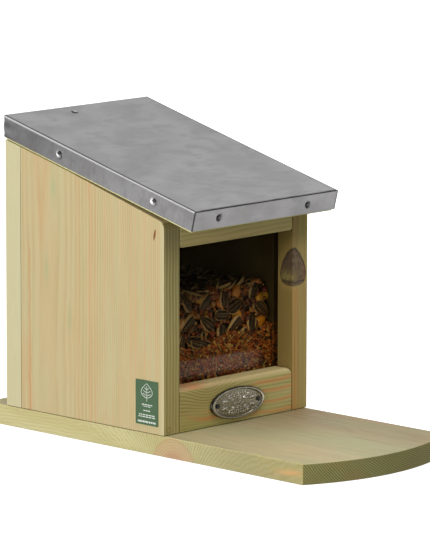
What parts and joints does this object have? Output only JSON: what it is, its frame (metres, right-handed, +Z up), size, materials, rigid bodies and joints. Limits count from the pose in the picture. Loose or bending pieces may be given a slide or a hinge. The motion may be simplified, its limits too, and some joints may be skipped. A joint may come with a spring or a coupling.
{
  "type": "wooden feeding house with lid",
  "caption": "Small pine seed house with a clear front and a hinged, metal-covered sloping lid, on a long base board with a rounded front end.",
  "frame": {"origin": "centre of the base board's underside", "axes": "+Z up, -Y out of the window along the base board's rounded end, +X to the right-hand side seen from the window"},
  "size_m": [0.1124, 0.2546, 0.1726],
  "materials": {
    "pine_base": "planed pressure-treated pine, greenish cast, open grain",
    "pine_side": "planed pale pine with straight upright grain",
    "pine_back": "planed pale green-grey pine",
    "pine_front": "planed olive pine with grain along its length",
    "pine_lid": "planed pale green-grey pine",
    "zinc_sheet": "dull galvanised sheet with soft mottling",
    "clear_pane": "clear acrylic sheet",
    "mixed_seed": "loose heap of striped sunflower seed, maize and millet",
    "aged_pewter": "cast, aged and darkened in the hollows",
    "green_paper": "dark green printed paper label",
    "zinc_steel": "bright zinc-plated steel"
  },
  "bodies": {
    "house": {"back_board": "pine_back", "back_nail_1": "zinc_steel", "back_nail_2": "zinc_steel", "back_nail_3": "zinc_steel", "back_nail_4": "zinc_steel", "back_nail_5": "zinc_steel", "back_nail_6": "zinc_steel", "base_board": "pine_base", "base_screw_1": "zinc_steel", "base_screw_2": "zinc_steel", "base_screw_3": "zinc_steel", "base_screw_4": "zinc_steel", "base_screw_5": "zinc_steel", "base_screw_6": "zinc_steel", "base_screw_7": "zinc_steel", "base_screw_8": "zinc_steel", "front_board": "pine_front", "house_hinge_screw_1": "zinc_steel", "house_hinge_screw_2": "zinc_steel", "house_hinge_screw_3": "zinc_steel", "house_hinge_screw_4": "zinc_steel", "left_hinge_house_leaf": "zinc_steel", "left_hinge_pin": "zinc_steel", "left_side_panel": "pine_side", "oval_plate": "aged_pewter", "paper_label": "green_paper", "plate_nail_1": "zinc_steel", "plate_nail_2": "zinc_steel", "right_hinge_house_leaf": "zinc_steel", "right_hinge_pin": "zinc_steel", "right_side_panel": "pine_side", "seed_fill": "mixed_seed", "top_rail": "pine_front", "window_pane": "clear_pane"},
    "roof": {"front_flange_left_nail": "zinc_steel", "front_flange_right_nail": "zinc_steel", "left_flange_back_nail": "zinc_steel", "left_flange_front_nail": "zinc_steel", "left_hinge_roof_leaf": "zinc_steel", "right_flange_back_nail": "zinc_steel", "right_flange_front_nail": "zinc_steel", "right_hinge_roof_leaf": "zinc_steel", "roof_board": "pine_lid", "roof_hinge_screw_1": "zinc_steel", "roof_hinge_screw_2": "zinc_steel", "roof_hinge_screw_3": "zinc_steel", "roof_hinge_screw_4": "zinc_steel", "roof_sheet": "zinc_sheet", "top_nail": "zinc_steel"}
  },
  "joints": [
    {"name": "lid_hinge", "type": "hinge", "parent": "house", "child": "roof", "pos_m": [0, 0.1137, 0.15965], "axis": [-1, 0, 0], "range_deg": [0, 104]}
  ]
}
